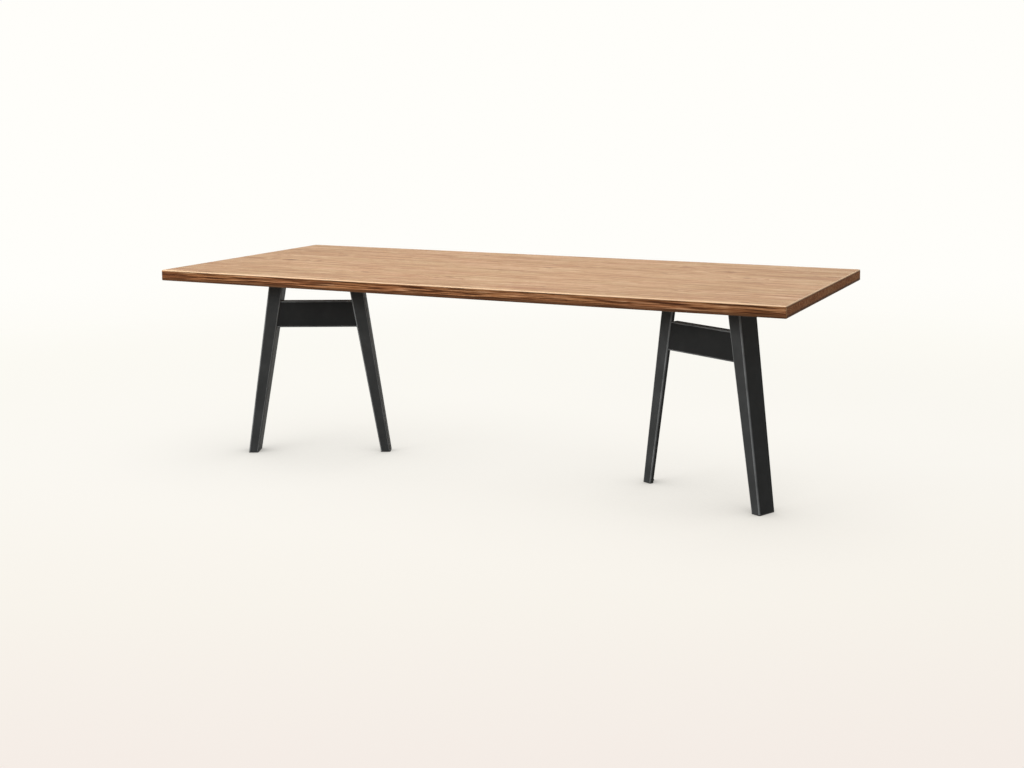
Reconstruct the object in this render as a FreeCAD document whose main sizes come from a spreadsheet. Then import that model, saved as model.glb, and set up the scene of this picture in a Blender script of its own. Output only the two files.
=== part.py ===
import FreeCAD, Part
import Sketcher
import os

# A dining table: a solid wood top of edge-glued boards, screwed down on two trestles of folded black steel.
# X runs along the table, Y from front to rear, Z up; the origin is on the floor under the top's middle.

# Driving dimensions in millimetres, and one angle in degrees
SIZES = (
    ("table_height", 750, "floor to tabletop surface"),
    ("top_length", 2400, "tabletop along the grain"),
    ("top_width", 1000, "tabletop across the grain"),
    ("top_thickness", 40, "tabletop boards"),
    ("top_arris", 2, "chamfer on the tabletop's outer edges"),
    ("trestle_inset", 414, "tabletop's end to the trestle's middle, along X"),
    ("trestle_forward", 100, "trestle front face ahead of the table's middle line"),
    ("trestle_angle", 25, "degrees between a trestle and the table's length"),
    ("foot_spread", 558, "over both legs at their feet"),
    ("head_spread", 354, "over both legs at their heads"),
    ("foot_face", 38, "front flange of a leg at its foot"),
    ("head_face", 56, "front flange of a leg at its head"),
    ("foot_side", 73, "side flanges of a front leg at its foot"),
    ("head_side", 84, "side flanges of a front leg at its head"),
    ("rear_foot_side", 44, "outer flange of a rear leg at its foot"),
    ("rear_head_side", 56, "outer flange of a rear leg at its head"),
    ("leg_lip", 16, "return lip on a rear leg's inner side"),
    ("sheet_thickness", 4, "folded steel sheet"),
    ("fold_radius", 5, "outer radius of a fold"),
    ("rail_drop", 108, "tabletop's underside to the rail's upper face"),
    ("rail_depth", 104, "rail from lower to upper face"),
    ("rail_flange", 30, "rail flanges from front to rear"),
    ("rail_recess", 3, "rail front behind the legs' front"),
    ("plate_thickness", 8, "bearing plate under the top"),
    ("plate_width", 90, "bearing plate across the trestle"),
    ("plate_overhang", 55, "bearing plate past each leg's head"),
    ("plate_corner", 10, "corner radius of the bearing plate"),
    ("screw_inset", 25, "end screws from the plate's ends"),
    ("screw_row_gap", 46, "between the two rows of screws"),
    ("screw_shank", 6, "wood screw shank diameter"),
    ("screw_grip", 24, "wood screw length inside the top"),
    ("screw_head", 13, "wood screw head diameter"),
    ("screw_head_rise", 4, "wood screw head height"),
    ("screw_clearance", 0.3, "gap round a screw shank"),
    ("glide_thickness", 4, "plastic glide under a leg"),
    ("glide_band", 14, "width of a rear glide's arm"),
)
BOARD_COUNT = 8
SCREW_COLUMNS = (-1, 0, 1)
SCREW_ROWS = (-1, 1)

doc = FreeCAD.newDocument("dining_table")
sheet = doc.addObject("Spreadsheet::Sheet", "sizes")
for row, (alias, number, meaning) in enumerate(SIZES, start=1):
    sheet.set(f"A{row}", meaning)
    sheet.set(f"B{row}", str(number))
    sheet.setAlias(f"B{row}", alias)
doc.recompute()

# Places worked out from the driving dimensions, as expressions
TOP_UNDERSIDE = "(sizes.table_height - sizes.top_thickness)"
LEG_HEAD = f"({TOP_UNDERSIDE} - sizes.plate_thickness)"
LEG_FOOT = "sizes.glide_thickness"
FOOT_OUTER = "(sizes.foot_spread / 2)"
HEAD_OUTER = "(sizes.head_spread / 2)"
FOOT_INNER = f"({FOOT_OUTER} - sizes.foot_face)"
HEAD_INNER = f"({HEAD_OUTER} - sizes.head_face)"
RAIL_TOP = f"({TOP_UNDERSIDE} - sizes.rail_drop)"
RAIL_BOTTOM = f"({RAIL_TOP} - sizes.rail_depth)"
PLATE_END = f"({HEAD_OUTER} + sizes.plate_overhang)"
PLATE_MIDDLE = "(sizes.head_side / 2)"
TRESTLE_OFFSET = "(sizes.top_length / 2 - sizes.trestle_inset)"

nodes = {}


def value(expression):
    """The number that an expression over the sheet gives now."""
    return float(sheet.evalExpression(expression))


def inner_at(height):
    """Half the clear width between the legs of a trestle at a height."""
    rise = f"(({height} - {LEG_FOOT}) / ({LEG_HEAD} - {LEG_FOOT}))"
    return f"({FOOT_INNER} + ({HEAD_INNER} - {FOOT_INNER}) * {rise})"


def new_body(name):
    return doc.addObject("PartDesign::Body", name)


def new_sketch(body, role, offset):
    """A sketch on one of the body's origin planes, moved along the plane's normal."""
    plane = next(item for item in body.Origin.OriginFeatures if item.Role == role)
    sketch = body.newObject("Sketcher::SketchObject", body.Name + "_sketch")
    sketch.AttachmentSupport = [(plane, "")]
    sketch.MapMode = "FlatFace"
    sketch.setExpression("AttachmentOffset.Base.z", offset)
    return sketch


def place_point(sketch, curve, position, corner):
    """Hold one point of a curve at a pair of expressions."""
    for kind, expression in zip(("DistanceX", "DistanceY"), corner):
        rule = Sketcher.Constraint(kind, -1, 1, curve, position, value(expression))
        sketch.setExpression(f"Constraints[{sketch.addConstraint(rule)}]", expression)


def draw_outline(sketch, corners, arc_centres=None):
    """A closed outline whose corners are pairs of expressions.

    A stretch whose number is in arc_centres is an arc of the fold radius about that centre.
    """
    arc_centres = arc_centres or {}
    points = [FreeCAD.Vector(value(x), value(y), 0) for x, y in corners]
    count = len(points)
    starts, finishes = [], []
    for index, start in enumerate(points):
        finish = points[(index + 1) % count]
        turn = 1
        curve = Part.LineSegment(start, finish)
        if index in arc_centres:
            x, y = arc_centres[index]
            curve, turn = quarter_arc(FreeCAD.Vector(value(x), value(y), 0), start, finish)
        number = sketch.addGeometry(curve, False)
        starts.append((number, 1 if turn > 0 else 2))
        finishes.append((number, 2 if turn > 0 else 1))
    for index, corner in enumerate(corners):
        sketch.addConstraint(Sketcher.Constraint("Coincident", *finishes[index - 1], *starts[index]))
        if index in arc_centres:
            rule = Sketcher.Constraint("Radius", index, value("sizes.fold_radius"))
            sketch.setExpression(f"Constraints[{sketch.addConstraint(rule)}]", "sizes.fold_radius")
        place_point(sketch, *starts[index], corner)


def draw_rectangle(sketch, reach, low, high):
    """A rectangle as far to either side of the middle as reach, from low to high."""
    draw_outline(sketch, [(f"-({reach})", low), (reach, low), (reach, high), (f"-({reach})", high)])


def quarter_arc(centre, start, finish):
    """An arc from start to finish, and 1 where it turns to the left or -1 to the right."""
    upward = FreeCAD.Vector(0, 0, 1)
    turn = 1 if (start - centre).cross(finish - centre).z > 0 else -1
    circle = Part.Circle(centre, upward, (start - centre).Length)
    first, last = (start, finish) if turn > 0 else (finish, start)
    return Part.ArcOfCircle(circle, circle.parameter(first), circle.parameter(last)), turn


def draw_circles(sketch, centres, diameter):
    """Circles of one diameter at pairs of expressions."""
    for index, (x, y) in enumerate(centres):
        middle = FreeCAD.Vector(value(x), value(y), 0)
        sketch.addGeometry(Part.Circle(middle, FreeCAD.Vector(0, 0, 1), value(diameter) / 2), False)
        place_point(sketch, index, 3, (x, y))
        rule = Sketcher.Constraint("Diameter", index, value(diameter))
        sketch.setExpression(f"Constraints[{sketch.addConstraint(rule)}]", diameter)


def pad(body, sketch, length, reverse=False):
    feature = body.newObject("PartDesign::Pad", body.Name + "_pad")
    feature.Profile = sketch
    feature.Reversed = reverse
    feature.setExpression("Length", length)
    doc.recompute()
    return feature


def dress(body, kind, base, size_name, expression, chosen):
    """A fillet or chamfer on the edges of the base that the test picks."""
    names = [f"Edge{index}" for index, edge in enumerate(base.Shape.Edges, start=1) if chosen(edge)]
    feature = body.newObject(kind, body.Name + "_edges")
    feature.Base = (base, names)
    feature.setExpression(size_name, expression)
    doc.recompute()
    return feature


def ends(edge):
    return [vertex.Point for vertex in edge.Vertexes]


def near(first, second):
    """Whether two places are the same, within a share of the sheet's thickness."""
    tolerance_share = 0.01
    return abs(first - second) < tolerance_share * value("sizes.sheet_thickness")


def add_node(part, label):
    part.Label = label
    nodes[label] = part


def stand_in_trestle(part, side):
    """Move a piece from the trestle's own frame to its place; side is -1 for left and 1 for right."""
    part.Placement.Rotation = FreeCAD.Rotation(FreeCAD.Vector(0, 0, 1), -side * value("sizes.trestle_angle"))
    part.setExpression("Placement.Base.x", f"{side} * {TRESTLE_OFFSET}")
    part.setExpression("Placement.Base.y", "-sizes.trestle_forward")
    part.setExpression("Placement.Rotation.Angle", f"{-side} * sizes.trestle_angle")


def draw_handed(sketch, hand, corners, arc_centres):
    """An outline for the trestle's right leg, hand 1, or mirrored for its left one, hand -1."""
    flipped = [(f"{hand} * ({x})", y) for x, y in corners]
    flipped_centres = {index: (f"{hand} * ({x})", y) for index, (x, y) in arc_centres.items()}
    draw_outline(sketch, flipped, flipped_centres)


def folded_front(outer, face):
    """The front of a leg's section from its inner to its outer side, and the centres of its two folds."""
    radius = "sizes.fold_radius"
    inner = f"({outer} - {face})"
    corners = [(inner, radius), (f"{inner} + {radius}", "0"), (f"{outer} - {radius}", "0"), (outer, radius)]
    return corners, {0: (f"{inner} + {radius}", radius), 2: (f"{outer} - {radius}", radius)}


def draw_leg_section(sketch, hand, outer, face, outer_side, inner_side):
    """A folded section: inner flange, front flange and outer flange, open to the rear."""
    front, folds = folded_front(outer, face)
    sheet_in = "sizes.sheet_thickness"
    inner = f"({outer} - {face})"
    rear = [
        (outer, outer_side),
        (f"{outer} - {sheet_in}", outer_side),
        (f"{outer} - {sheet_in}", sheet_in),
        (f"{inner} + {sheet_in}", sheet_in),
        (f"{inner} + {sheet_in}", inner_side),
        (inner, inner_side),
    ]
    draw_handed(sketch, hand, front + rear, folds)


def make_leg(name, hand, foot_sides, head_sides):
    """A leg that tapers and leans from its head under the plate to its foot.

    The sides are the depths of its outer and inner flanges at that end.
    """
    body = new_body(name)
    foot = new_sketch(body, "XY_Plane", LEG_FOOT)
    draw_leg_section(foot, hand, FOOT_OUTER, "sizes.foot_face", *foot_sides)
    head = new_sketch(body, "XY_Plane", LEG_HEAD)
    draw_leg_section(head, hand, HEAD_OUTER, "sizes.head_face", *head_sides)
    loft = body.newObject("PartDesign::AdditiveLoft", name + "_loft")
    loft.Profile = foot
    loft.Sections = [head]
    loft.Ruled = True
    doc.recompute()
    return body


def make_glide(name, hand, rear):
    """A flat plastic foot with the leg's folded front and the rear corners given."""
    body = new_body(name)
    sketch = new_sketch(body, "XY_Plane", "0")
    front, folds = folded_front(FOOT_OUTER, "sizes.foot_face")
    draw_handed(sketch, hand, front + rear, folds)
    pad(body, sketch, "sizes.glide_thickness")
    return body


def make_rail(name):
    """A channel between the legs, its ends cut to their lean, folded to the rear along both long edges."""
    body = new_body(name)
    front = new_sketch(body, "XZ_Plane", "-sizes.rail_recess")
    low, high = inner_at(RAIL_BOTTOM), inner_at(RAIL_TOP)
    corners = [
        (f"-{low}", RAIL_BOTTOM),
        (low, RAIL_BOTTOM),
        (high, RAIL_TOP),
        (f"-{high}", RAIL_TOP),
    ]
    draw_outline(front, corners)
    block = pad(body, front, "sizes.rail_flange", reverse=True)
    rear = new_sketch(body, "XZ_Plane", "-(sizes.rail_recess + sizes.rail_flange)")
    floor = f"{RAIL_BOTTOM} + sizes.sheet_thickness"
    roof = f"{RAIL_TOP} - sizes.sheet_thickness"
    draw_rectangle(rear, FOOT_OUTER, floor, roof)
    hollow = body.newObject("PartDesign::Pocket", name + "_hollow")
    hollow.Profile = rear
    hollow.Reversed = True
    hollow.setExpression("Length", "sizes.rail_flange - sizes.sheet_thickness")
    doc.recompute()
    if hollow.Shape.Volume > block.Shape.Volume / 2:
        raise RuntimeError(f"{name}: the channel was not hollowed")

    def is_fold(edge):
        first, last = ends(edge)
        front_face = value("sizes.rail_recess")
        return near(first.y, front_face) and near(last.y, front_face) and near(first.z, last.z)

    dress(body, "PartDesign::Fillet", hollow, "Radius", "sizes.fold_radius", is_fold)
    return body


def screw_places():
    """Two rows of screws through the plate, in the trestle's own frame."""
    column = f"({PLATE_END} - sizes.screw_inset)"
    row = "(sizes.screw_row_gap / 2)"
    return [(f"{i} * {column}", f"{PLATE_MIDDLE} + {j} * {row}") for i in SCREW_COLUMNS for j in SCREW_ROWS]


def make_plate(name):
    """The flat bar across the heads of both legs, drilled for the screws into the top."""
    body = new_body(name)
    sketch = new_sketch(body, "XY_Plane", LEG_HEAD)
    front = f"{PLATE_MIDDLE} - sizes.plate_width / 2"
    rear = f"{PLATE_MIDDLE} + sizes.plate_width / 2"
    draw_rectangle(sketch, PLATE_END, front, rear)
    bar = pad(body, sketch, "sizes.plate_thickness")
    rounded = dress(body, "PartDesign::Fillet", bar, "Radius", "sizes.plate_corner", is_upright)
    drill = new_sketch(body, "XY_Plane", LEG_HEAD)
    draw_circles(drill, screw_places(), "sizes.screw_shank + 2 * sizes.screw_clearance")
    holes = body.newObject("PartDesign::Pocket", name + "_holes")
    holes.Profile = drill
    holes.Type = "ThroughAll"
    holes.Reversed = True
    doc.recompute()
    if holes.Shape.Volume >= rounded.Shape.Volume:
        raise RuntimeError(f"{name}: the screw holes were not cut")
    return body


def is_upright(edge):
    first, last = ends(edge)
    return near(first.x, last.x) and near(first.y, last.y)


def make_screws(name):
    """The plate's wood screws: heads under the plate, shanks up into the boards."""
    body = new_body(name)
    body.AllowCompound = True
    heads = new_sketch(body, "XY_Plane", LEG_HEAD)
    draw_circles(heads, screw_places(), "sizes.screw_head")
    pad(body, heads, "sizes.screw_head_rise", reverse=True)
    shanks = new_sketch(body, "XY_Plane", LEG_HEAD)
    draw_circles(shanks, screw_places(), "sizes.screw_shank")
    pad(body, shanks, "sizes.plate_thickness + sizes.screw_grip")
    return body


def make_pilot_holes(name):
    """The space that the screws take in the tabletop."""
    body = new_body(name)
    body.AllowCompound = True
    sketch = new_sketch(body, "XY_Plane", TOP_UNDERSIDE)
    draw_circles(sketch, screw_places(), "sizes.screw_shank + 2 * sizes.screw_clearance")
    pad(body, sketch, "sizes.screw_grip + sizes.screw_clearance")
    return body


def make_board(index, drilling):
    """One full-length board of the top, with the top's outer edges eased."""
    body = new_body(f"board_{index}")
    sketch = new_sketch(body, "XY_Plane", TOP_UNDERSIDE)
    half = "sizes.top_length / 2"
    front = f"sizes.top_width * ({index} / {BOARD_COUNT} - 1 / 2)"
    rear = f"sizes.top_width * ({index + 1} / {BOARD_COUNT} - 1 / 2)"
    draw_rectangle(sketch, half, front, rear)
    plank = pad(body, sketch, "sizes.top_thickness")

    def is_outer(edge):
        first, last = ends(edge)
        across = near(first.x, last.x) and near(abs(first.x), value(half))
        along = near(first.y, last.y) and near(abs(first.y), value("sizes.top_width / 2"))
        return near(first.z, last.z) and (across or along)

    dress(body, "PartDesign::Chamfer", plank, "Size", "sizes.top_arris", is_outer)
    drilled = doc.addObject("Part::Cut", f"drilled_board_{index}")
    drilled.Base = body
    drilled.Tool = drilling
    return drilled


def make_trestle(side, place):
    """Both legs with their glides, the rail, the bearing plate and its screws."""
    front_hand, rear_hand = side, -side
    deep_foot = ("sizes.foot_side", "sizes.foot_side")
    deep_head = ("sizes.head_side", "sizes.head_side")
    add_node(make_leg(f"{place}_front_leg", front_hand, deep_foot, deep_head), f"{place}_trestle_front_leg")
    slim_foot = ("sizes.rear_foot_side", "sizes.leg_lip")
    slim_head = ("sizes.rear_head_side", "sizes.leg_lip")
    add_node(make_leg(f"{place}_rear_leg", rear_hand, slim_foot, slim_head), f"{place}_trestle_rear_leg")
    block = [(FOOT_OUTER, "sizes.foot_side"), (FOOT_INNER, "sizes.foot_side")]
    add_node(make_glide(f"{place}_front_glide", front_hand, block), f"{place}_trestle_front_glide")
    arm = f"({FOOT_OUTER} - sizes.glide_band)"
    angle = [
        (FOOT_OUTER, "sizes.rear_foot_side"),
        (arm, "sizes.rear_foot_side"),
        (arm, "sizes.leg_lip"),
        (FOOT_INNER, "sizes.leg_lip"),
    ]
    add_node(make_glide(f"{place}_rear_glide", rear_hand, angle), f"{place}_trestle_rear_glide")
    add_node(make_rail(f"{place}_rail"), f"{place}_trestle_rail")
    add_node(make_plate(f"{place}_plate"), f"{place}_trestle_bearing_plate")
    add_node(make_screws(f"{place}_screws"), f"{place}_trestle_screws")
    drilling = make_pilot_holes(f"{place}_pilot_holes")
    for label, part in nodes.items():
        if label.startswith(place):
            stand_in_trestle(part, side)
    stand_in_trestle(drilling, side)
    return drilling


drillings = doc.addObject("Part::Compound", "drillings")
drillings.Links = [make_trestle(-1, "left"), make_trestle(1, "right")]
doc.recompute()
for board in range(BOARD_COUNT):
    add_node(make_board(board, drillings), f"top_board_{board + 1}")
doc.recompute()

for item in doc.Objects:
    if {"Invalid", "Error"} & set(item.State):
        raise RuntimeError(f"{item.Label} failed to recompute: {item.State}")
for label, part in nodes.items():
    if part.Shape.isNull() or not part.Shape.isValid() or not part.Shape.Solids:
        raise RuntimeError(f"{label} has no valid solid")

os.makedirs("parts", exist_ok=True)
for label, part in nodes.items():
    part.Shape.exportStep(f"parts/{label}.step")
    print(label, len(part.Shape.Solids), "solids", round(part.Shape.Volume), "mm3")
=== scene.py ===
import math
import random

import bmesh
import bpy
from mathutils import Matrix, Vector


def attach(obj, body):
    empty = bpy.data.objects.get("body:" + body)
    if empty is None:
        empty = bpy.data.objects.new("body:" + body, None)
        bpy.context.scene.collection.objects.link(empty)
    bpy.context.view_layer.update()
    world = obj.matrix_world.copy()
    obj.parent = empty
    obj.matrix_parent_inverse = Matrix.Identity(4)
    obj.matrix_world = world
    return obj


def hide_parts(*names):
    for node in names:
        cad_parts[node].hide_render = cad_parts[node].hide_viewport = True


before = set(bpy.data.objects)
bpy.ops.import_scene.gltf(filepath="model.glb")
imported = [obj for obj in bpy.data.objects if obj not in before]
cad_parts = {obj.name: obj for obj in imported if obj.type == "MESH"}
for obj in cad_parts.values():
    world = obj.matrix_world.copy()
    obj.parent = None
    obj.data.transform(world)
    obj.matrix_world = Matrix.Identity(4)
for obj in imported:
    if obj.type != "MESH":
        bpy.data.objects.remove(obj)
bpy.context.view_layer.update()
random.seed(7)

# Sizes of the table in millimetres, the same as in the part's source
MM = 0.001
TABLE_HEIGHT = 750
TOP_LENGTH = 2400
TOP_WIDTH = 1000
TOP_THICKNESS = 40
BOARD_COUNT = 8
TRESTLE_OFFSET = 786
TRESTLE_FORWARD = 100
TRESTLE_ANGLE = math.radians(25)
FOOT_OUTER = 279
HEAD_OUTER = 177
FOOT_FACE = 38
HEAD_FACE = 56
FOOT_SIDE = 73
HEAD_SIDE = 84
REAR_FOOT_SIDE = 44
REAR_HEAD_SIDE = 56
LEG_LIP = 16
SHEET = 4
FOLD_RADIUS = 5
RAIL_BOTTOM = 498
RAIL_TOP = 602
RAIL_FLANGE = 30
RAIL_RECESS = 3
PLATE_THICKNESS = 8
PLATE_WIDTH = 90
PLATE_END = 232
PLATE_CORNER = 10
SCREW_COLUMN = 207
SCREW_ROW = 23
SCREW_SHANK = 6
SCREW_GRIP = 24
SCREW_HEAD = 13
SCREW_HEAD_RISE = 4
GLIDE_THICKNESS = 4
GLIDE_BAND = 14
TOP_UNDERSIDE = TABLE_HEIGHT - TOP_THICKNESS
LEG_HEAD = TOP_UNDERSIDE - PLATE_THICKNESS
LEG_FOOT = GLIDE_THICKNESS
PLATE_MIDDLE = HEAD_SIDE / 2

# Small forms that the solids leave out, in millimetres
ARRIS_ROUND = 3.6
LEAST_ROUND = 0.05
COAT_EDGE = 0.8
PLATE_EDGE = 1.0
GLIDE_EDGE = 0.9
BEAD_RADIUS = 2.2
BEAD_RIPPLE = 2.6
THREAD_PITCH = 2.6
THREAD_ROOT = 2.1
THREAD_LEAD = 0.3
TIP_RADIUS = 0.2

# Strips of a rounded edge narrower than this, in millimetres, are marked for the painted highlight
# and shade on arrises and folds, and for the scuffs on the glides
NARROW_STRIP = 2.2

# How finely curves are divided, and the angle from which an edge stays sharp
FOLD_STEPS = 6
EDGE_STEPS = 3
SCREW_SIDES = 24
THREAD_SLICES = 6
BEAD_SIDES = 10
STEPS_PER_RIPPLE = 4
SHARP_ANGLE = math.radians(40)


def linear(hex_colour):
    """A linear colour from an sRGB hex value."""
    channels = [int(hex_colour[i:i + 2], 16) / 255 for i in (1, 3, 5)]
    return [c / 12.92 if c <= 0.04045 else ((c + 0.055) / 1.055) ** 2.4 for c in channels] + [1.0]


def add(tree, kind, inputs=None, stops=None, out=0, **settings):
    """Add a node with its settings and links, and give back one of its outputs.

    Each input is a constant or another node's output, each stop of a ramp a place and a colour.
    """
    node = tree.nodes.new("ShaderNode" + kind)
    for name, choice in settings.items():
        setattr(node, name, choice)
    for place, (position, colour) in enumerate(stops or ()):
        ramp = node.color_ramp.elements
        stop = ramp[place] if place < len(ramp) else ramp.new(position)
        stop.position = position
        stop.color = linear(colour)
    for socket, source in (inputs or {}).items():
        if isinstance(source, bpy.types.NodeSocket):
            tree.links.new(source, node.inputs[socket])
        else:
            node.inputs[socket].default_value = source
    return node.outputs[out] if node.outputs else None


def new_finish(name):
    """A node material with nothing in it yet, and its tree."""
    finish = bpy.data.materials.new(name)
    finish.use_nodes = True
    finish.node_tree.nodes.clear()
    return finish, finish.node_tree


# Camera at the photograph's viewing angle, in metres and radians
IMAGE_WIDTH, IMAGE_HEIGHT = 1024, 768
FOCAL_PIXELS = 1375.53
AXIS_PIXEL = (554.70, 245.47)
CAMERA_PLACE = (2.3047, -4.5173, 1.3607)
YAW, PITCH, ROLL = -0.4369, 0.1026, 0.0058
SENSOR_WIDTH = 36

level_ahead = Vector((math.sin(YAW), math.cos(YAW), 0))
ahead = level_ahead * math.cos(PITCH) - Vector((0, 0, math.sin(PITCH)))
level = Vector((math.cos(YAW), -math.sin(YAW), 0))
right = level * math.cos(ROLL) - level.cross(ahead) * math.sin(ROLL)
upward = right.cross(ahead)


def on_top(pixel):
    """Place along and across the top, in millimetres, that a pixel of the photograph shows."""
    place = Vector(CAMERA_PLACE)
    sideways = (pixel[0] - AXIS_PIXEL[0]) / FOCAL_PIXELS
    upwards = (AXIS_PIXEL[1] - pixel[1]) / FOCAL_PIXELS
    sight = ahead + right * sideways + upward * upwards
    reach = (TABLE_HEIGHT * MM - place.z) / sight.z
    return ((place + sight * reach) / MM).xy


# Marks in the wood that stand out: pixel in the photograph, and width in millimetres
SEEN_KNOTS = (
    ((292, 259.6), 17),
    ((366, 272), 10),
    ((346, 255), 9),
    ((450, 277), 13),
    ((549.4, 268), 9),
    ((687, 267), 11),
    ((730, 272), 16),
    ((664, 273), 10),
    ((747, 278), 11),
)
# Two more, given as place along and across the top, and width, in millimetres
ADDED_KNOTS = (
    ((-300, 402), 10),
    ((330, -385), 8),
)

# Layers of the oak's grain: length and width in millimetres, noise detail and roughness
# Fibres, flecks and edge lines are finer in real oak, and drawn this wide so that they show
GRAIN = {
    "streak": (450, 30, 5.0, 0.68),
    "figure": (320, 22, 4.0, 0.6),
    "fibre": (300, 6, 2.0, 0.5),
    "fleck": (80, 6, 3.0, 0.6),
    "edge_line": (180, 4.5, 1.5, 0.5),
    "ray": (200, 9, 2.0, 0.5),
    "hue": (300, 90, 2.0, 0.5),
}


def oiled_oak():
    """Planed oak, fumed brown and oiled: a warm low sheen over rings, open pores and small knots.

    The rings lie round the heart of each board's own log, so the top shows long flames, the edges
    straight lines and the ends short arcs. Ends and edges are darker, partly from the oil that
    sinks into them, partly from painted shade.
    """
    finish, tree = new_finish("oiled_oak")
    place = add(tree, "TexCoord", out="Object")
    table_mm = add(tree, "VectorMath", {0: place, "Scale": 1 / MM}, operation="SCALE")
    log = add(tree, "Attribute", out="Vector", attribute_name="log_shift")
    log_mm = add(tree, "VectorMath", {0: table_mm, 1: log}, operation="ADD")

    # Grain that wanders about 12 mm sideways over most of a metre
    slow_scale = (1 / 800, 1 / 70, 1 / 70)
    wander_mm = (0, 26, 26)
    slow = add(tree, "VectorMath", {0: log_mm, 1: slow_scale}, operation="MULTIPLY")
    drift = add(tree, "TexNoise", {"Vector": slow, "Scale": 1.0, "Detail": 2.0}, out="Color")
    centred = add(tree, "VectorMath", {0: drift, 1: (0.5, 0.5, 0.5)}, operation="SUBTRACT")
    wander = add(tree, "VectorMath", {0: centred, 1: wander_mm}, operation="MULTIPLY")
    grain_mm = add(tree, "VectorMath", {0: log_mm, 1: wander}, operation="ADD")

    # Each knot is a dark eye twice as long as wide and deeper still, in a swirl of bent rings
    eye, swirl = 0.0, 0.0
    knots = [(on_top(pixel), width) for pixel, width in SEEN_KNOTS]
    knots += ADDED_KNOTS
    for (along, across), width in knots:
        knot = (along, across, TABLE_HEIGHT)
        shape = (0.5 / width, 1 / width, 0.2 / width)
        away = add(tree, "VectorMath", {0: table_mm, 1: knot}, operation="SUBTRACT")
        widths = add(tree, "VectorMath", {0: away, 1: shape}, operation="MULTIPLY")
        far = add(tree, "VectorMath", {0: widths}, out="Value", operation="LENGTH")
        core = add(tree, "MapRange", {"Value": far, "From Min": 1.1, "From Max": 0.2},
                   interpolation_type="SMOOTHSTEP")
        bend = add(tree, "MapRange", {"Value": far, "From Min": 5.0, "From Max": 0.2},
                   interpolation_type="SMOOTHSTEP")
        eye = add(tree, "Math", {0: eye, 1: core}, operation="MAXIMUM")
        swirl = add(tree, "Math", {0: swirl, 1: bend}, operation="MAXIMUM")

    # Growth rings about 5 mm apart, bent by two of them at a knot
    # The wave node turns by 20 radians per unit of its scale
    ring_gap = 5.0
    wave_radians = 20
    bent = add(tree, "Math", {0: swirl, 1: 2 * math.tau}, operation="MULTIPLY")
    rings = add(tree, "TexWave", {
        "Vector": grain_mm, "Scale": math.tau / (wave_radians * ring_gap), "Distortion": 1.6,
        "Detail": 2.0, "Detail Scale": 0.4, "Phase Offset": bent,
    }, out="Fac", wave_type="RINGS", rings_direction="X", wave_profile="SAW")

    grain = {}
    for layer, (long, wide, detail, roughness) in GRAIN.items():
        layer_scale = (1 / long, 1 / wide, 1 / wide)
        stretch = add(tree, "VectorMath", {0: grain_mm, 1: layer_scale}, operation="MULTIPLY")
        grain[layer] = add(tree, "TexNoise", {
            "Vector": stretch, "Scale": 1.0, "Detail": detail, "Roughness": roughness,
        }, out="Fac")

    # Pores are a third of a millimetre wide in oak; drawn 1.5 mm wide so that they show
    pore_length, pore_width = 38, 1.5
    pore_scale = (1 / pore_length, 1 / pore_width, 1 / pore_width)
    fine = add(tree, "VectorMath", {0: log_mm, 1: pore_scale}, operation="MULTIPLY")
    specks = add(tree, "TexNoise", {"Vector": fine, "Scale": 1.0, "Detail": 1.0}, out="Fac")
    pores = add(tree, "MapRange", {
        "Value": specks, "From Min": 0.56, "From Max": 0.74, "To Max": 0.85,
    })

    # Tone from the layers of the grain, the rings and the board, each with its weight, and
    # shifted on to the ramp of wood colours
    board = add(tree, "TexWhiteNoise", {"Vector": log}, out="Value", noise_dimensions="3D")
    weights = (
        (grain["streak"], 0.4), (grain["figure"], 0.6), (grain["fibre"], 0.45),
        (grain["fleck"], 0.35), (rings, 0.26), (board, 0.1),
    )
    tone_shift = -0.58
    tone = tone_shift
    for layer, weight in weights:
        tone = add(tree, "Math", {0: layer, 1: weight, 2: tone}, operation="MULTIPLY_ADD")
    colour = add(tree, "ValToRGB", {"Fac": tone}, stops=(
        (0.2, "#805738"), (0.4, "#A97C56"), (0.54, "#BE9369"), (0.8, "#D8B692"),
    ))

    # Ray flecks, the sparse pale dashes of quartered oak, and dark breaks between them
    rays = add(tree, "MapRange", {
        "Value": grain["ray"], "From Min": 0.6, "From Max": 0.7, "To Max": 0.6,
    })
    gaps = add(tree, "MapRange", {
        "Value": grain["ray"], "From Min": 0.38, "From Max": 0.28, "To Max": 0.6,
    })
    colour = add(tree, "Mix", {0: rays, 6: colour, 7: linear("#E8CBA6")}, out=2, data_type="RGBA")
    colour = add(tree, "Mix", {0: gaps, 6: colour, 7: linear("#96683F")}, out=2, data_type="RGBA")

    # The hue drifts slowly from pinker to greener wood
    hue = add(tree, "ValToRGB", {"Fac": grain["hue"]}, stops=(
        (0.35, "#FFFBFA"), (0.65, "#FBFFF9"),
    ))
    colour = add(tree, "Mix", {0: 1.0, 6: colour, 7: hue}, out=2, data_type="RGBA",
                 blend_type="MULTIPLY")
    colour = add(tree, "Mix", {0: pores, 6: colour, 7: linear("#865631")}, out=2, data_type="RGBA")
    colour = add(tree, "Mix", {0: eye, 6: colour, 7: linear("#6B3D0E")}, out=2, data_type="RGBA")
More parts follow.
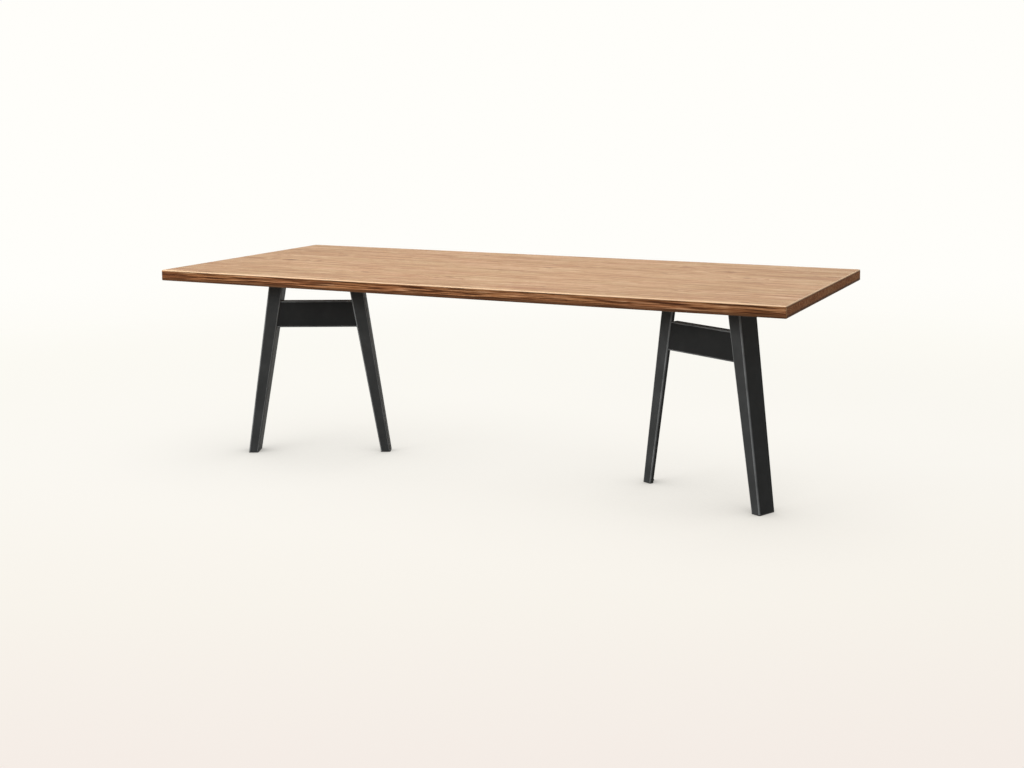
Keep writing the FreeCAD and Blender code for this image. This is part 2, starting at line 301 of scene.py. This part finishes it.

    # Edges and ends are tinted darker, most of all along their open fibres: partly oil that they
    # drink more than the face, partly painted shade on these upright faces
    facing = add(tree, "NewGeometry", out="True Normal")
    axes = add(tree, "SeparateXYZ", {0: facing}).node.outputs
    side_darkening = (
        ("Y", "edge_line", ((0.4, "#614C40"), (0.5, "#AA9286"), (0.6, "#E9D5CC"))),
        ("X", "fleck", ((0.3, "#BC9B7F"), (0.7, "#F4D4BB"))),
    )
    upright_sides = 0.0
    for axis, layer, tints in side_darkening:
        side = add(tree, "Math", {0: axes[axis]}, operation="ABSOLUTE")
        oil_and_shade = add(tree, "MapRange", {"Value": side, "From Min": 0.75, "From Max": 0.98})
        tint = add(tree, "ValToRGB", {"Fac": grain[layer]}, stops=tints)
        colour = add(tree, "Mix", {0: oil_and_shade, 6: colour, 7: tint}, out=2, data_type="RGBA",
                     blend_type="MULTIPLY")
        upright_sides = add(tree, "Math", {0: upright_sides, 1: oil_and_shade}, operation="MAXIMUM")

    # A dark line of painted shade lies beside each arris, wider along the lower one: where it
    # starts and where it is full, in millimetres from the arris
    upper_start, upper_full = 6, 1
    lower_start, lower_full = 9, 4
    flat_half = TOP_THICKNESS / 2 - ARRIS_ROUND
    mid_height = TABLE_HEIGHT - TOP_THICKNESS / 2
    height = add(tree, "SeparateXYZ", {0: table_mm}, out="Z")
    offset = add(tree, "Math", {0: height, 1: mid_height}, operation="SUBTRACT")
    above = add(tree, "MapRange", {
        "Value": offset, "From Min": flat_half - upper_start, "From Max": flat_half - upper_full,
        "To Max": 0.5,
    })
    below = add(tree, "MapRange", {
        "Value": offset, "From Min": lower_start - flat_half, "From Max": lower_full - flat_half,
        "To Max": 0.85,
    })
    rim = add(tree, "Math", {0: above, 1: below}, operation="MAXIMUM")
    painted_rim_shade = add(tree, "Math", {0: rim, 1: upright_sides}, operation="MULTIPLY")
    colour = add(tree, "Mix", {0: painted_rim_shade, 6: colour, 7: linear("#4A2E1B")}, out=2,
                 data_type="RGBA")

    # The upper arris is painted paler as a highlight, and the lower one darker as painted shade
    edge_strip = add(tree, "Attribute", out="Fac", attribute_name="narrow_strip")
    upper = add(tree, "MapRange", {
        "Value": axes["Z"], "From Min": 0.0, "From Max": 0.3, "To Max": 0.75,
    })
    lower = add(tree, "MapRange", {
        "Value": axes["Z"], "From Min": -0.1, "From Max": -0.5, "To Max": 0.9,
    })
    wear_and_highlight = add(tree, "Math", {0: edge_strip, 1: upper}, operation="MULTIPLY")
    lower_arris_shade = add(tree, "Math", {0: edge_strip, 1: lower}, operation="MULTIPLY")
    colour = add(tree, "Mix", {0: wear_and_highlight, 6: colour, 7: linear("#F6D3AC")}, out=2, data_type="RGBA")
    colour = add(tree, "Mix", {0: lower_arris_shade, 6: colour, 7: linear("#3F2A1B")}, out=2, data_type="RGBA")

    # Pale grain shines most; pores and everything steep, where the oil has sunk in, are duller
    sheen = add(tree, "MapRange", {
        "Value": tone, "From Min": 0.35, "From Max": 0.75, "To Min": 0.56, "To Max": 0.46,
    })
    dull = add(tree, "Math", {0: pores, 1: 0.2, 2: sheen}, operation="MULTIPLY_ADD")
    upright = add(tree, "Math", {0: axes["Z"]}, operation="ABSOLUTE")
    steep = add(tree, "MapRange", {
        "Value": upright, "From Min": 0.95, "From Max": 0.6, "To Max": 0.4,
    })
    dull = add(tree, "Math", {0: dull, 1: steep}, operation="ADD")
    relief = add(tree, "Math", {0: pores, 1: -1.0, 2: grain["fibre"]}, operation="MULTIPLY_ADD")
    bump = add(tree, "Bump", {"Height": relief, "Strength": 0.25, "Distance": 0.25 * MM})
    oak = add(tree, "BsdfPrincipled", {
        "Base Color": colour, "Roughness": dull, "IOR": 1.5, "Specular IOR Level": 0.3,
        "Normal": bump,
    })
    add(tree, "OutputMaterial", {"Surface": oak})
    return finish


def powder_coat():
    """Steel under black polyester powder coat: a satin film, thinner on the folds, where a paler
    colour paints a highlight.
    """
    finish, tree = new_finish("black_powder_coat_on_steel")
    place = add(tree, "TexCoord", out="Object")
    # Orange peel is about 1 mm from crest to crest; drawn at 2.5 mm so that it shows
    peel_gap = 2.5
    peel = add(tree, "TexNoise", {
        "Vector": place, "Scale": 1 / (peel_gap * MM), "Detail": 2.0,
    }, out="Fac")
    # Cloudy patches where hands and shoes have rubbed, about 90 mm across
    patch = 90
    cloud = add(tree, "TexNoise", {
        "Vector": place, "Scale": 1 / (patch * MM), "Detail": 4.0, "Roughness": 0.6,
    }, out="Fac")
    colour = add(tree, "ValToRGB", {"Fac": cloud}, stops=(
        (0.3, "#333434"), (0.55, "#3A3B3B"), (0.75, "#424343"),
    ))
    # The rails between the legs are painted a deeper black, as the shade that falls under the top
    painted_rail_shade = add(tree, "Attribute", out="Fac", attribute_name="painted_rail_shade")
    colour = add(tree, "Mix", {0: painted_rail_shade, 6: colour, 7: linear("#A8A8A8")}, out=2,
                 data_type="RGBA", blend_type="MULTIPLY")
    # Narrow strips on the folds and sheet edges are painted paler in patches, as a highlight
    edge_strip = add(tree, "Attribute", out="Fac", attribute_name="narrow_strip")
    wear_and_highlight = add(tree, "Math", {0: edge_strip, 1: cloud}, operation="MULTIPLY")
    colour = add(tree, "Mix", {0: wear_and_highlight, 6: colour, 7: linear("#8A8C8C")}, out=2, data_type="RGBA")
    gloss = add(tree, "MapRange", {
        "Value": cloud, "From Min": 0.3, "From Max": 0.7, "To Min": 0.5, "To Max": 0.6,
    })
    bump = add(tree, "Bump", {"Height": peel, "Strength": 0.2, "Distance": 0.15 * MM})
    coat = add(tree, "BsdfPrincipled", {
        "Base Color": colour, "Roughness": gloss, "IOR": 1.5, "Specular IOR Level": 0.08,
        "Normal": bump,
    })
    add(tree, "OutputMaterial", {"Surface": coat})
    return finish


def moulded_nylon():
    """Black nylon moulded in a spark-eroded tool: dead matt, with pale scuffs of wear on its rim.
    """
    finish, tree = new_finish("moulded_black_nylon")
    place = add(tree, "TexCoord", out="Object")
    # Spark-eroded grain is near 0.3 mm; drawn at 0.8 mm so that it shows
    grit_size, scuff_size = 0.8, 6
    grit = add(tree, "TexNoise", {
        "Vector": place, "Scale": 1 / (grit_size * MM), "Detail": 1.0,
    }, out="Fac")
    scuff = add(tree, "TexNoise", {
        "Vector": place, "Scale": 1 / (scuff_size * MM), "Detail": 4.0,
    }, out="Fac")
    edge_strip = add(tree, "Attribute", out="Fac", attribute_name="narrow_strip")
    wear_and_highlight = add(tree, "Math", {0: edge_strip, 1: scuff}, operation="MULTIPLY")
    colour = add(tree, "ValToRGB", {"Fac": grit}, stops=((0.3, "#131314"), (0.7, "#1E1E1F")))
    colour = add(tree, "Mix", {0: wear_and_highlight, 6: colour, 7: linear("#3C3C3D")}, out=2, data_type="RGBA")
    bump = add(tree, "Bump", {"Height": grit, "Strength": 0.3, "Distance": 0.1 * MM})
    nylon = add(tree, "BsdfPrincipled", {
        "Base Color": colour, "Roughness": 0.68, "IOR": 1.53, "Normal": bump,
    })
    add(tree, "OutputMaterial", {"Surface": nylon})
    return finish


def zinc_plate():
    """Zinc-plated steel: bright grey metal with a cool, slightly blotchy passivated skin."""
    finish, tree = new_finish("zinc_plated_steel")
    place = add(tree, "TexCoord", out="Object")
    blotch_size = 4
    blotch = add(tree, "TexNoise", {
        "Vector": place, "Scale": 1 / (blotch_size * MM), "Detail": 3.0,
    }, out="Fac")
    colour = add(tree, "ValToRGB", {"Fac": blotch}, stops=(
        (0.3, "#9A9EA3"), (0.55, "#B6B9BC"), (0.75, "#C4C2B4"),
    ))
    gloss = add(tree, "MapRange", {"Value": blotch, "To Min": 0.28, "To Max": 0.46})
    zinc = add(tree, "BsdfPrincipled", {
        "Base Color": colour, "Metallic": 1.0, "Roughness": gloss,
    })
    add(tree, "OutputMaterial", {"Surface": zinc})
    return finish


def rounded(corners):
    """Outline points of a polygon whose corners are (x, y, radius, steps)."""
    points = []
    count = len(corners)
    for index, (x, y, radius, steps) in enumerate(corners):
        corner = Vector((x, y))
        if not radius:
            points.append(corner)
            continue
        back = (Vector(corners[index - 1][:2]) - corner).normalized()
        ahead = (Vector(corners[(index + 1) % count][:2]) - corner).normalized()
        half = back.angle(ahead) / 2
        centre = corner + (back + ahead).normalized() * (radius / math.sin(half))
        start = corner + back * (radius / math.tan(half)) - centre
        sweep = start.angle_signed(corner + ahead * (radius / math.tan(half)) - centre)
        for step in range(steps + 1):
            points.append(centre + Matrix.Rotation(-sweep * step / steps, 2) @ start)
    return points


def skin(shape, rings):
    """Close a skin over rings of equally many points in millimetres, with a face on each end."""
    layers = [[shape.verts.new(Vector(point) * MM) for point in ring] for ring in rings]
    for low, high in zip(layers, layers[1:]):
        for index in range(len(low)):
            shape.faces.new((low[index - 1], low[index], high[index], high[index - 1]))
    shape.faces.new(layers[0])
    shape.faces.new(layers[-1])


def place_piece(name, shape, finish, node, log_shift=None, place=None):
    """Turn a bmesh into a piece of the table, with its narrow rounded strips marked for painted
    highlight and shade, and for wear.

    A piece without a node stands for none of the solids; log_shift is a board's place in its log.
    """
    bmesh.ops.recalc_face_normals(shape, faces=shape.faces[:])
    edge = shape.faces.layers.float.new("narrow_strip")
    for face in shape.faces:
        narrow = min(side.calc_length() for side in face.edges) < NARROW_STRIP * MM
        face[edge] = float(narrow and len(face.verts) == 4)
    if log_shift:
        log = shape.verts.layers.float_vector.new("log_shift")
        for vert in shape.verts:
            vert[log] = log_shift
    if place:
        bmesh.ops.transform(shape, matrix=place, verts=shape.verts[:])
    mesh = bpy.data.meshes.new(name)
    shape.to_mesh(mesh)
    shape.free()
    mesh.polygons.foreach_set("use_smooth", [True] * len(mesh.polygons))
    mesh.set_sharp_from_angle(angle=SHARP_ANGLE)
    mesh.materials.append(finish)
    piece = bpy.data.objects.new(name, mesh)
    bpy.context.scene.collection.objects.link(piece)
    flat = piece.modifiers.new("flat_faces", "WEIGHTED_NORMAL")
    flat.weight = 100
    flat.keep_sharp = True
    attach(piece, "root")
    if node:
        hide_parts(node)


def inner_at(height):
    """Half the clear width between the legs of a trestle at a height."""
    rise = (height - LEG_FOOT) / (LEG_HEAD - LEG_FOOT)
    foot, head = FOOT_OUTER - FOOT_FACE, HEAD_OUTER - HEAD_FACE
    return foot + (head - foot) * rise


def quarter_turns():
    """Angles that divide a quarter turn for a rounded edge."""
    return [step / EDGE_STEPS * math.pi / 2 for step in range(EDGE_STEPS + 1)]


def board_shape(index):
    """One board of the top, rounded on the top's outer edges and square where it is glued."""
    width = TOP_WIDTH / BOARD_COUNT
    front = index * width - TOP_WIDTH / 2
    is_front, is_rear = index == 0, index == BOARD_COUNT - 1
    half = TOP_LENGTH / 2

    def section(x, inset):
        low, high = TOP_UNDERSIDE + inset, TABLE_HEIGHT - inset
        near = front + (inset if is_front else 0)
        far = front + width - (inset if is_rear else 0)
        radius = max(ARRIS_ROUND - inset, LEAST_ROUND)
        near_radius, far_radius = radius * is_front, radius * is_rear
        outline = rounded([
            (near, low, near_radius, EDGE_STEPS),
            (far, low, far_radius, EDGE_STEPS),
            (far, high, far_radius, EDGE_STEPS),
            (near, high, near_radius, EDGE_STEPS),
        ])
        return [(x, y, z) for y, z in outline]

    ends = [(half - ARRIS_ROUND * (1 - math.cos(turn)), ARRIS_ROUND * (1 - math.sin(turn)))
            for turn in quarter_turns()]
    rings = [section(-x, inset) for x, inset in ends]
    rings += [section(x, inset) for x, inset in reversed(ends)]
    shape = bmesh.new()
    skin(shape, rings)
    return shape


def leg_shape(hand, foot_sides, head_sides):
    """A folded leg with true inner and outer fold radii and softened sheet edges.

    The sides are the depths of its outer and inner flanges at that end.
    """
    inner_fold = FOLD_RADIUS - SHEET

    def section(outer, face, sides, height):
        outer_side, inner_side = sides
        inner = outer - face
        outline = rounded([
            (inner, 0, FOLD_RADIUS, FOLD_STEPS),
            (outer, 0, FOLD_RADIUS, FOLD_STEPS),
            (outer, outer_side, COAT_EDGE, EDGE_STEPS),
            (outer - SHEET, outer_side, COAT_EDGE, EDGE_STEPS),
            (outer - SHEET, SHEET, inner_fold, EDGE_STEPS),
            (inner + SHEET, SHEET, inner_fold, EDGE_STEPS),
            (inner + SHEET, inner_side, COAT_EDGE, EDGE_STEPS),
            (inner, inner_side, COAT_EDGE, EDGE_STEPS),
        ])
        return [(hand * u, v, height) for u, v in outline]

    shape = bmesh.new()
    skin(shape, [
        section(FOOT_OUTER, FOOT_FACE, foot_sides, LEG_FOOT),
        section(HEAD_OUTER, HEAD_FACE, head_sides, LEG_HEAD),
    ])
    return shape


def rail_shape():
    """The channel between the legs, its ends cut to their lean and its coat marked for painted
    shade.
    """
    front, rear = RAIL_RECESS, RAIL_RECESS + RAIL_FLANGE
    inner_fold = FOLD_RADIUS - SHEET
    outline = rounded([
        (front, RAIL_BOTTOM, FOLD_RADIUS, FOLD_STEPS),
        (rear, RAIL_BOTTOM, COAT_EDGE, EDGE_STEPS),
        (rear, RAIL_BOTTOM + SHEET, COAT_EDGE, EDGE_STEPS),
        (front + SHEET, RAIL_BOTTOM + SHEET, inner_fold, EDGE_STEPS),
        (front + SHEET, RAIL_TOP - SHEET, inner_fold, EDGE_STEPS),
        (rear, RAIL_TOP - SHEET, COAT_EDGE, EDGE_STEPS),
        (rear, RAIL_TOP, COAT_EDGE, EDGE_STEPS),
        (front, RAIL_TOP, FOLD_RADIUS, FOLD_STEPS),
    ])
    shape = bmesh.new()
    skin(shape, [[(end * inner_at(z), v, z) for v, z in outline] for end in (-1, 1)])
    painted_rail_shade = shape.verts.layers.float.new("painted_rail_shade")
    for vert in shape.verts:
        vert[painted_rail_shade] = 1.0
    return shape


def slab_shape(outline_at, low, high, edge):
    """A flat piece between two heights with its rim rounded over.

    outline_at gives the outline, drawn in by a length.
    """
    curve = [(edge * (1 - math.sin(turn)), edge * (1 - math.cos(turn))) for turn in quarter_turns()]
    rings = [[(x, y, low + rise) for x, y in outline_at(inset)] for inset, rise in curve]
    rings += [[(x, y, high - rise) for x, y in outline_at(inset)]
              for inset, rise in reversed(curve)]
    shape = bmesh.new()
    skin(shape, rings)
    return shape


def plate_outline(inset):
    """The bar across the heads of a trestle's legs, with rounded corners."""
    end, half = PLATE_END - inset, PLATE_WIDTH / 2 - inset
    corners = ((-end, -half), (end, -half), (end, half), (-end, half))
    outline = rounded([(x, y, PLATE_CORNER - inset, FOLD_STEPS) for x, y in corners])
    return [(x, y + PLATE_MIDDLE) for x, y in outline]


def glide_outline(hand, inset, rear):
    """The folded front of a leg's foot, closed by the rear corners given."""
    inner, outer = FOOT_OUTER - FOOT_FACE + inset, FOOT_OUTER - inset
    fold = FOLD_RADIUS - inset
    corners = [(inner, inset, fold, FOLD_STEPS), (outer, inset, fold, FOLD_STEPS)]
    corners += [(x, y, COAT_EDGE, EDGE_STEPS) for x, y in rear]
    return [(hand * x, y) for x, y in rounded(corners)]


def front_glide_outline(hand, inset):
    """A block under the whole channel of a front leg."""
    inner, outer = FOOT_OUTER - FOOT_FACE + inset, FOOT_OUTER - inset
    rear = FOOT_SIDE - inset
    return glide_outline(hand, inset, ((outer, rear), (inner, rear)))


def rear_glide_outline(hand, inset):
    """An angle that follows the front and outer flanges of a rear leg."""
    inner, outer = FOOT_OUTER - FOOT_FACE + inset, FOOT_OUTER - inset
    arm = FOOT_OUTER - GLIDE_BAND + inset
    lip, rear = LEG_LIP - inset, REAR_FOOT_SIDE - inset
    return glide_outline(hand, inset, ((outer, rear), (arm, rear), (arm, lip), (inner, lip)))


# A screw's head from the rim of its recess to its seat: height above the crown as a share of
# its rise, and radius as a share of half its width
HEAD_SHARES = ((0, 0.62), (0.12, 0.82), (0.42, 0.96), (0.9, 1), (1, 1))
# The drive recess: depths of its floor's middle and corner as shares of the head's rise, and
# radii of that middle, the drive and its six lobes as shares of the head's width
RECESS_MIDDLE_SHARE, RECESS_CORNER_SHARE = 0.6, 0.55
PIT_SHARE, DRIVE_SHARE, LOBE_SHARE, LOBES = 0.08, 0.2, 0.03, 6
# The part of the grip that is threaded, and the width of a crest as a share of the pitch
THREADED_SHARE, CREST_SHARE = 0.85, 0.4


def add_screw(shape, u, v):
    """A pan-head wood screw with a lobed recess and a helical thread, its head below the plate."""
    turns = [step / SCREW_SIDES * math.tau for step in range(SCREW_SIDES)]

    def ring(height, radius):
        radii = [radius(turn) if callable(radius) else radius for turn in turns]
        return [(u + r * math.cos(turn), v + r * math.sin(turn), height)
                for r, turn in zip(radii, turns)]

    def lobes(turn):
        return SCREW_HEAD * (DRIVE_SHARE + LOBE_SHARE * math.cos(LOBES * turn))

    crown = LEG_HEAD - SCREW_HEAD_RISE
    grip = LEG_HEAD + PLATE_THICKNESS
    rings = [
        ring(crown + SCREW_HEAD_RISE * RECESS_MIDDLE_SHARE, SCREW_HEAD * PIT_SHARE),
        ring(crown + SCREW_HEAD_RISE * RECESS_CORNER_SHARE, lobes),
        ring(crown, lobes),
    ]
    for rise_share, radius_share in HEAD_SHARES:
        rings.append(ring(crown + SCREW_HEAD_RISE * rise_share, SCREW_HEAD / 2 * radius_share))
    rings += [ring(LEG_HEAD, SCREW_SHANK / 2), ring(grip, SCREW_SHANK / 2)]
    for step in range(int(SCREW_GRIP * THREADED_SHARE / THREAD_PITCH * THREAD_SLICES)):
        height = step * THREAD_PITCH / THREAD_SLICES

        def thread(turn, height=height):
            phase = (height / THREAD_PITCH - turn / math.tau) % 1.0
            crest = max(0.0, 1 - abs(phase - 0.5) / (CREST_SHARE / 2))
            return THREAD_ROOT + (SCREW_SHANK / 2 - THREAD_ROOT) * crest

        rings.append(ring(grip + height + THREAD_LEAD, thread))
    rings.append(ring(grip + SCREW_GRIP, TIP_RADIUS))
    skin(shape, rings)


def screw_shape():
    """The six screws of one trestle, in two rows."""
    shape = bmesh.new()
    for column in (-1, 0, 1):
        for row in (-1, 1):
            add_screw(shape, column * SCREW_COLUMN, PLATE_MIDDLE + row * SCREW_ROW)
    return shape


# How far a weld sinks between its drops, and how thin its ends are, as shares of its radius
RIPPLE_SHARE, BEAD_END_SHARE = 0.16, 0.55


def add_bead(shape, start, finish):
    """A weld bead between two points, rippled as each drop of the weld froze over the last."""
    start, finish = Vector(start), Vector(finish)
    along = finish - start
    side = along.orthogonal().normalized()
    other = along.normalized().cross(side)
    turns = [index / BEAD_SIDES * math.tau for index in range(BEAD_SIDES)]
    count = max(2, int(along.length / BEAD_RIPPLE * STEPS_PER_RIPPLE))
    rings = []
    for step in range(count + 1):
        ripple = 1 - RIPPLE_SHARE * ((step % STEPS_PER_RIPPLE) / STEPS_PER_RIPPLE)
        end = BEAD_END_SHARE if step in (0, count) else 1.0
        radius = BEAD_RADIUS * ripple * end
        middle = start + along * (step / count)
        rings.append([middle + (side * math.cos(turn) + other * math.sin(turn)) * radius
                      for turn in turns])
    skin(shape, rings)


def weld_shape(front_hand):
    """A trestle's beads: behind each end of the rail, and round the outside of each leg's head."""
    shape = bmesh.new()
    web, lip = RAIL_RECESS + SHEET, LEG_LIP - SHEET
    low, high = RAIL_BOTTOM + SHEET + BEAD_RADIUS, RAIL_TOP - SHEET - BEAD_RADIUS
    outer, inner = HEAD_OUTER - FOLD_RADIUS, HEAD_OUTER - HEAD_FACE + FOLD_RADIUS
    for hand in (-1, 1):
        add_bead(shape, (hand * inner_at(low), web, low), (hand * inner_at(high), web, high))
        for height in (RAIL_BOTTOM, RAIL_TOP):
            end = hand * inner_at(height)
            add_bead(shape, (end, web, height), (end, lip, height))
        add_bead(shape, (hand * inner, 0, LEG_HEAD), (hand * outer, 0, LEG_HEAD))
        rear = (HEAD_SIDE if hand == front_hand else REAR_HEAD_SIDE) - SHEET
        flange = hand * HEAD_OUTER
        add_bead(shape, (flange, FOLD_RADIUS, LEG_HEAD), (flange, rear, LEG_HEAD))
    return shape


# Where a board may lie in its log, in millimetres: along it, beside its heart and off its heart
ALONG_LOG = (3000, 9000)
BESIDE_HEART = (10, 45)
OFF_HEART = (45, 110)


def make_top(finish):
    """Eight boards, each from its own place in a log."""
    width = TOP_WIDTH / BOARD_COUNT
    for index in range(BOARD_COUNT):
        middle = (index + 0.5) * width - TOP_WIDTH / 2
        heart_side = random.choice((-1, 1)) * random.uniform(*BESIDE_HEART)
        heart_depth = random.choice((-1, 1)) * random.uniform(*OFF_HEART)
        along = random.uniform(*ALONG_LOG)
        log_shift = (along, heart_side - middle, heart_depth - TABLE_HEIGHT)
        place_piece(f"oak_board_{index + 1}", board_shape(index), finish,
                    f"top_board_{index + 1}", log_shift)


def make_trestle(place, side, coat, nylon, zinc):
    """One trestle; side is -1 for left and 1 for right."""
    turned = Matrix.Rotation(-side * TRESTLE_ANGLE, 4, "Z")
    spot = Vector((side * TRESTLE_OFFSET, -TRESTLE_FORWARD, 0)) * MM
    stand = Matrix.Translation(spot) @ turned
    deep = ((FOOT_SIDE, FOOT_SIDE), (HEAD_SIDE, HEAD_SIDE))
    slim = ((REAR_FOOT_SIDE, LEG_LIP), (REAR_HEAD_SIDE, LEG_LIP))
    legs = (("front", side, deep, front_glide_outline), ("rear", -side, slim, rear_glide_outline))
    for depth, hand, sides, foot_outline in legs:
        label = f"{place}_trestle_{depth}"
        leg = leg_shape(hand, *sides)
        place_piece(f"{label}_folded_leg", leg, coat, f"{label}_leg",
                    place=stand)
        foot = slab_shape(lambda inset: foot_outline(hand, inset), 0, GLIDE_THICKNESS, GLIDE_EDGE)
        place_piece(f"{label}_moulded_glide", foot, nylon, f"{label}_glide",
                    place=stand)
    label = f"{place}_trestle"
    bar = slab_shape(plate_outline, LEG_HEAD, TOP_UNDERSIDE, PLATE_EDGE)
    fittings = (
        ("folded_rail", rail_shape(), coat, "black_powder_coat", f"{label}_rail"),
        ("flat_bar", bar, coat, "black_powder_coat", f"{label}_bearing_plate"),
        ("wood_screws", screw_shape(), zinc, "zinc_screw", f"{label}_screws"),
        ("weld_beads", weld_shape(side), coat, "black_powder_coat", None),
    )
    for name, shape, finish, slot, node in fittings:
        place_piece(f"{label}_{name}", shape, finish, node, place=stand)


make_top(oiled_oak())
coat, nylon, zinc = powder_coat(), moulded_nylon(), zinc_plate()
make_trestle("left", -1, coat, nylon, zinc)
make_trestle("right", 1, coat, nylon, zinc)

# The photograph's camera, its lens shifted so that its axis falls on the axis pixel
camera_turn = Matrix((right, upward, -ahead)).transposed().to_4x4()
lens = bpy.data.cameras.new("photo_camera")
lens.sensor_width = SENSOR_WIDTH
lens.sensor_fit = "HORIZONTAL"
lens.lens = FOCAL_PIXELS / IMAGE_WIDTH * SENSOR_WIDTH
lens.shift_x = (IMAGE_WIDTH / 2 - AXIS_PIXEL[0]) / IMAGE_WIDTH
lens.shift_y = (AXIS_PIXEL[1] - IMAGE_HEIGHT / 2) / IMAGE_WIDTH
camera = bpy.data.objects.new("photo_camera", lens)
camera.matrix_world = Matrix.Translation(CAMERA_PLACE) @ camera_turn
bpy.context.scene.collection.objects.link(camera)
bpy.context.scene.camera = camera

# The studio's paper floor: half its width in metres, and the colour that it fades to far away
FLOOR_HALF = 60
FAR_PAPER = "#FFFEFA"


def seen_directly(tree):
    """1 on rays that show the studio itself: to the camera, in reflections and through glass."""
    path = add(tree, "LightPath").node.outputs
    shown = add(tree, "Math", {0: path["Is Camera Ray"], 1: path["Is Glossy Ray"]},
                operation="MAXIMUM")
    return add(tree, "Math", {0: shown, 1: path["Is Transmission Ray"]}, operation="MAXIMUM")


def paper_floor():
    """Seamless studio paper: pale cream, warmer in front, glowing white but for the shadow."""
    finish, tree = new_finish("seamless_paper")
    place = add(tree, "TexCoord", out="Object")
    rearward = add(tree, "VectorMath", {0: place, 1: level_ahead}, out="Value",
                   operation="DOT_PRODUCT")
    depth = add(tree, "MapRange", {"Value": rearward, "From Min": -2.4, "From Max": 5.6})
    tint = add(tree, "ValToRGB", {"Fac": depth}, stops=(
        (0.0, "#F5ECE5"), (0.12, "#F8F3EA"), (0.3, "#FBF8F1"), (0.6, "#FDFBF4"), (1.0, FAR_PAPER),
    ))
    reach = add(tree, "VectorMath", {0: place}, out="Value", operation="LENGTH")
    far = add(tree, "MapRange", {"Value": reach, "From Min": 3.5, "From Max": 9})
    tint = add(tree, "Mix", {0: far, 6: tint, 7: linear(FAR_PAPER)}, out=2, data_type="RGBA")
    # A faint broad shadow from the lamps, and a darker one that fades out 0.6 m from the feet
    shadow_share = 0.08
    hidden = add(tree, "AmbientOcclusion", {"Distance": 0.6}, out="AO")
    bright = add(tree, "MapRange", {"Value": hidden, "To Min": 0.1, "To Max": 1 - shadow_share})
    glow = add(tree, "Emission", {"Color": tint, "Strength": bright})
    matt = add(tree, "BsdfDiffuse", {"Color": (shadow_share,) * 3 + (1.0,)})
    lit = add(tree, "AddShader", {0: glow, 1: matt})
    white = add(tree, "Emission", {"Color": tint})
    away = add(tree, "MapRange", {"Value": reach, "From Min": 1.6, "From Max": 4.5})
    shown = add(tree, "MixShader", {0: away, 1: lit, 2: white})
    plain = add(tree, "BsdfDiffuse", {"Color": linear("#AAA8A4")})
    mixed = add(tree, "MixShader", {0: seen_directly(tree), 1: plain, 2: shown})
    add(tree, "OutputMaterial", {"Surface": mixed})
    return finish


floor_shape = bmesh.new()
bmesh.ops.create_grid(floor_shape, x_segments=8, y_segments=8, size=FLOOR_HALF)
floor_mesh = bpy.data.meshes.new("studio_floor")
floor_shape.to_mesh(floor_mesh)
floor_shape.free()
floor_mesh.materials.append(paper_floor())
floor = bpy.data.objects.new("studio_floor", floor_mesh)
bpy.context.scene.collection.objects.link(floor)

# Pale studio all round: a plain level of light, and white where it is seen
studio = bpy.data.worlds.new("studio")
studio.use_nodes = True
air = studio.node_tree
air.nodes.clear()
fill = add(air, "Background", {"Color": linear("#F4F6F8"), "Strength": 0.31})
backdrop = add(air, "Background", {"Color": linear(FAR_PAPER)})
both = add(air, "MixShader", {0: seen_directly(air), 1: fill, 2: backdrop})
add(air, "OutputWorld", {"Surface": both})
bpy.context.scene.world = studio

# Softboxes: place, aim, width and height in metres, power in watts, and whether they show as gloss
# The front one hangs low and would white out the oil from behind, so it lights without gloss
SOFTBOXES = (
    ("overhead_softbox", (0.0, -0.1, 3.4), (0, -0.1, 0.75), 4.0, 2.6, 70, True),
    ("front_left_softbox", (-5.5, -8.6, 3.1), (0, -0.1, 0.5), 5.4, 1.6, 950, False),
    ("rear_softbox", (1.6, 4.2, 1.6), (-0.6, 0, 0.4), 2.4, 1.6, 15, True),
)
for name, spot, aim, width, height, power, glossy in SOFTBOXES:
    lamp = bpy.data.lights.new(name, "AREA")
    lamp.shape = "RECTANGLE"
    lamp.size = width
    lamp.size_y = height
    lamp.energy = power
    softbox = bpy.data.objects.new(name, lamp)
    softbox.location = spot
    softbox.rotation_euler = (Vector(aim) - Vector(spot)).to_track_quat("-Z", "Y").to_euler()
    softbox.visible_glossy = glossy
    bpy.context.scene.collection.objects.link(softbox)

bpy.context.scene.view_settings.view_transform = "Standard"
